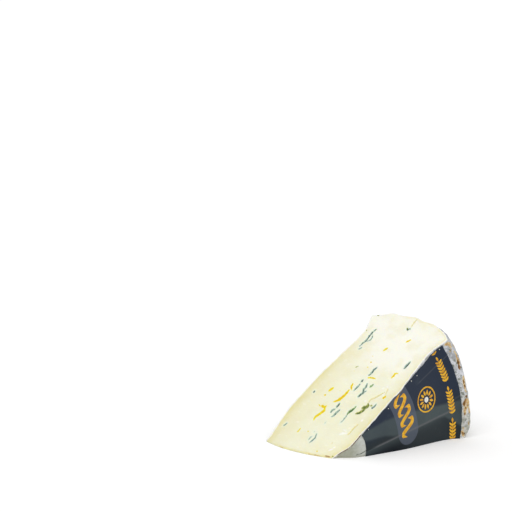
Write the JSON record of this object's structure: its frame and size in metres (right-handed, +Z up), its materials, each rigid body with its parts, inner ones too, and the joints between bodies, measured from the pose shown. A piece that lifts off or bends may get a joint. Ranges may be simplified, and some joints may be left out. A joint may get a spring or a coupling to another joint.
{
  "type": "blue cheese wedge",
  "caption": "Wedge cut from a round soft blue cheese: cream paste with blue-green veins, grey rind, dark printed label on one flat face.",
  "frame": {"origin": "middle of the flat lower cut face that the wedge stands on", "axes": "+X from the pointed tip to the round rim, +Y from the labelled face of the wheel to its bare face, +Z up"},
  "size_m": [0.1213, 0.066, 0.0699],
  "materials": {
    "cheese": "soft, slightly moist cream paste with a dry grey rind",
    "label": "dark blue-grey printed foil paper, soft sheen"
  },
  "bodies": {
    "root": {"cheese": "cheese", "label": "label"}
  },
  "joints": []
}
